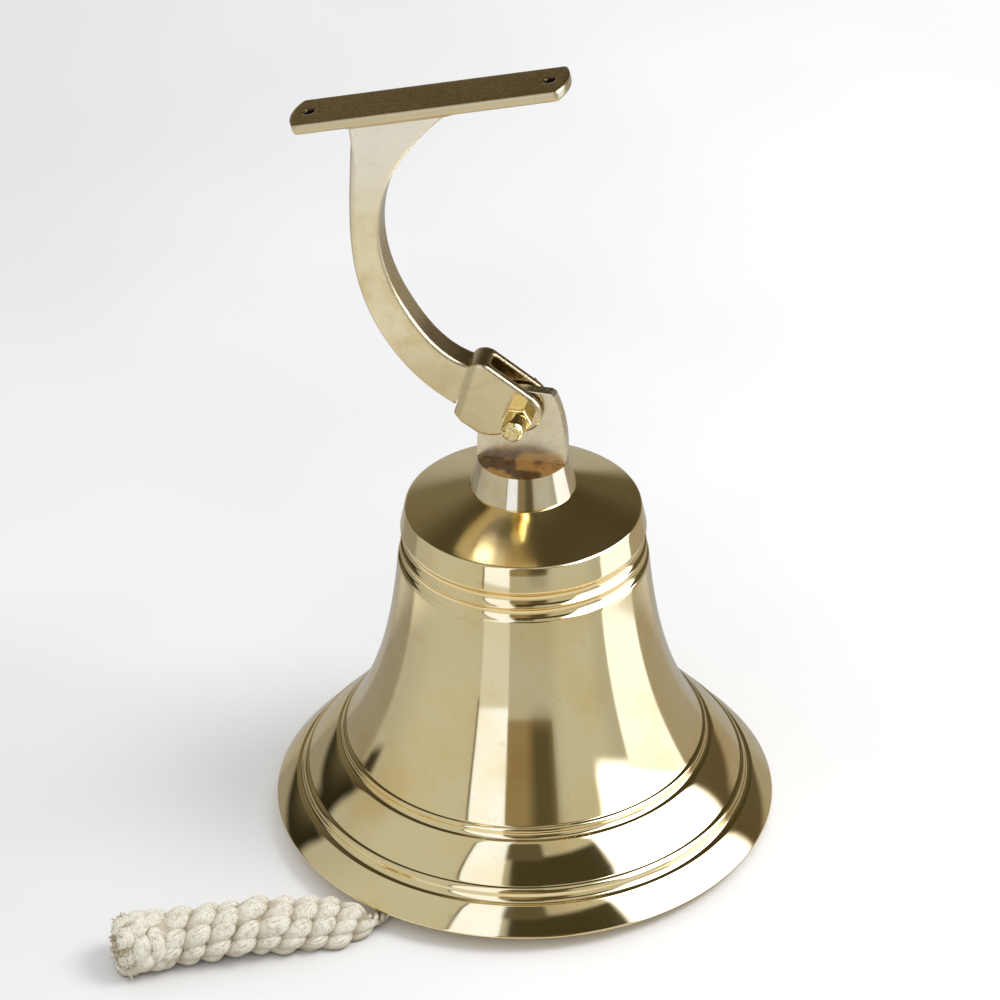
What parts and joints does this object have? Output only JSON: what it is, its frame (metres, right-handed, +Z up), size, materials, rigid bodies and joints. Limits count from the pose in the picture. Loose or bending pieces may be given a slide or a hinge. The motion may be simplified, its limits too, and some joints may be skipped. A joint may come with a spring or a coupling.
{
  "type": "ship bell",
  "caption": "Brass ship bell with a beaded flared skirt, hung by a tongue and bolt from a pivoting swan-neck plate bracket, with a clapper and a thick braided rope lanyard.",
  "frame": {"origin": "on the bell's axis, in the plane of its mouth", "axes": "+Z up the bell's axis, +X in the bracket's plane towards the raised end of its plate, +Y along the pivot bolt from the cap nut to the bolt's head"},
  "size_m": [0.2422, 0.2477, 0.3441],
  "materials": {
    "polished_bell": "mirror polished and lacquered",
    "cast_bracket": "satin, hand polished casting",
    "pivot_brass": "polished, turned",
    "plated_steel": "zinc plated",
    "clapper_brass": "turned, unlacquered",
    "cotton_rope": "soft braided cotton",
    "whipping_twine": "waxed twine"
  },
  "bodies": {
    "bracket": {"bracket": "cast_bracket", "pivot_bolt": "pivot_brass", "pivot_washer": "pivot_brass", "pivot_cap_nut": "pivot_brass"},
    "bell": {"bell_body": "polished_bell", "hanger": "cast_bracket", "hanger_stud": "plated_steel", "crown_washer": "plated_steel", "clamp_nut": "plated_steel", "clapper_clevis": "clapper_brass", "clapper_hinge_pin": "clapper_brass", "split_pin": "plated_steel"},
    "clapper": {"clapper_rod": "clapper_brass", "clapper_ball": "clapper_brass", "clapper_tail_ring": "clapper_brass"},
    "lanyard_neck": {"rope_loop": "cotton_rope", "rope_whipping": "whipping_twine", "rope_neck": "cotton_rope"},
    "lanyard_upper": {"rope_sennit_upper": "cotton_rope"},
    "lanyard_lower": {"rope_sennit_lower": "cotton_rope", "rope_end_knot": "cotton_rope"}
  },
  "joints": [
    {"name": "bell_swing", "type": "hinge", "parent": "bracket", "child": "bell", "pos_m": [0, 0, 0.185], "axis": [0, 1, 0], "range_deg": [-114, 13]},
    {"name": "clapper_swing", "type": "hinge", "parent": "bell", "child": "clapper", "pos_m": [0, 0, 0.112], "axis": [0.9135, -0.4067, 0], "range_deg": [0, 68]},
    {"name": "lanyard_swing", "type": "hinge", "parent": "clapper", "child": "lanyard_neck", "pos_m": [-0.02343, -0.05262, 0.02661], "axis": [0.9135, -0.4067, 0], "range_deg": [0, 28]},
    {"name": "lanyard_bend", "type": "hinge", "parent": "lanyard_neck", "child": "lanyard_upper", "pos_m": [-0.0423, -0.09501, -0.005], "axis": [0.4287, -0.7238, 0.5407], "range_deg": [0, 60]},
    {"name": "lanyard_flex", "type": "hinge", "parent": "lanyard_upper", "child": "lanyard_lower", "pos_m": [-0.0834, -0.1133, 0.0031], "axis": [0, 0, 1], "range_deg": [-25, 25]}
  ]
}
